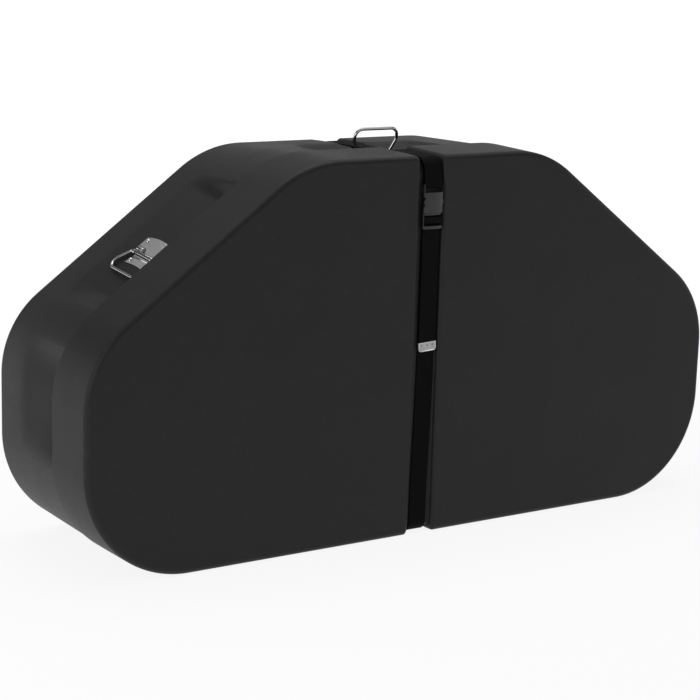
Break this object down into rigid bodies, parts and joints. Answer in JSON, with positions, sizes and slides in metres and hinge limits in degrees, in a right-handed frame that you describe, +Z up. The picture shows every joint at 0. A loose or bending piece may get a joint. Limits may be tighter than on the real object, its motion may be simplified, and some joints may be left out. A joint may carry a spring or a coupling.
{
  "type": "marching drum case",
  "caption": "Hard moulded case for a set of marching drums, with a telescoping lid, a webbing strap with a side-release buckle in a channel round it, and wire bail handles.",
  "frame": {"origin": "on the floor under the middle of the closed case", "axes": "+X to the right along the case's length, +Y from the lid at the front to the back, +Z up"},
  "size_m": [1.288, 0.3469, 0.6907],
  "materials": {
    "shell": "satin",
    "webbing": "matte",
    "buckle": "satin",
    "chrome": "polished",
    "tip": "satin",
    "washer": "satin",
    "foam": "matte"
  },
  "bodies": {
    "base": {"base_shell": "shell", "base_foam": "foam", "strap_base": "webbing", "top_handle_plate": "chrome", "top_handle_rivet_1": "chrome", "top_handle_rivet_2": "chrome", "top_handle_rivet_3": "chrome", "top_handle_rivet_4": "chrome", "top_handle_washer_1": "washer", "top_handle_washer_2": "washer", "top_handle_washer_3": "washer", "top_handle_washer_4": "washer", "left_handle_plate": "chrome", "left_handle_rivet_1": "chrome", "left_handle_rivet_2": "chrome", "left_handle_rivet_3": "chrome", "left_handle_rivet_4": "chrome", "left_handle_washer_1": "washer", "left_handle_washer_2": "washer", "left_handle_washer_3": "washer", "left_handle_washer_4": "washer", "right_handle_plate": "chrome", "right_handle_rivet_1": "chrome", "right_handle_rivet_2": "chrome", "right_handle_rivet_3": "chrome", "right_handle_rivet_4": "chrome", "right_handle_washer_1": "washer", "right_handle_washer_2": "washer", "right_handle_washer_3": "washer", "right_handle_washer_4": "washer"},
    "lid": {"lid_shell": "shell", "lid_foam": "foam", "strap_lid_upper": "webbing", "strap_lid_lower": "webbing", "buckle_socket": "buckle", "buckle_plug": "buckle"},
    "tail": {"strap_tail": "webbing", "strap_tip": "tip"},
    "prong_left": {"buckle_prong_left": "buckle"},
    "prong_right": {"buckle_prong_right": "buckle"},
    "top_bail": {"top_handle_bail": "chrome"},
    "left_bail": {"left_handle_bail": "chrome"},
    "right_bail": {"right_handle_bail": "chrome"}
  },
  "joints": [
    {"name": "lid_pull_off", "type": "slide", "parent": "base", "child": "lid", "axis": [0, -1, 0], "range_m": [0, 0.11]},
    {"name": "top_bail_swing", "type": "hinge", "parent": "base", "child": "top_bail", "pos_m": [0, 0.01034, 0.64503], "axis": [1, 0, 0], "range_deg": [-85, 55]},
    {"name": "left_bail_swing", "type": "hinge", "parent": "base", "child": "left_bail", "pos_m": [-0.44862, 0.01034, 0.49244], "axis": [-0.1085, 0.9833, 0.1465], "range_deg": [0, 160]},
    {"name": "right_bail_swing", "type": "hinge", "parent": "base", "child": "right_bail", "pos_m": [0.44862, 0.01034, 0.49244], "axis": [-0.1085, -0.9833, -0.1465], "range_deg": [0, 160]},
    {"name": "left_prong_pinch", "type": "hinge", "parent": "lid", "child": "prong_left", "pos_m": [-0.01205, -0.1699, 0.5633], "axis": [0, 1, 0], "range_deg": [0, 8], "stiffness_Nm_per_rad": 2},
    {"name": "right_prong_pinch", "type": "hinge", "parent": "lid", "child": "prong_right", "pos_m": [0.01905, -0.1699, 0.5633], "axis": [0, -1, 0], "range_deg": [0, 8], "stiffness_Nm_per_rad": 2},
    {"name": "tail_lift", "type": "hinge", "parent": "lid", "child": "tail", "pos_m": [0.0035, -0.1666, 0.535], "axis": [-1, 0, 0], "range_deg": [0, 90]}
  ],
  "couplings": [
    {"joint": "right_prong_pinch", "follows": "left_prong_pinch", "ratio": 1}
  ]
}
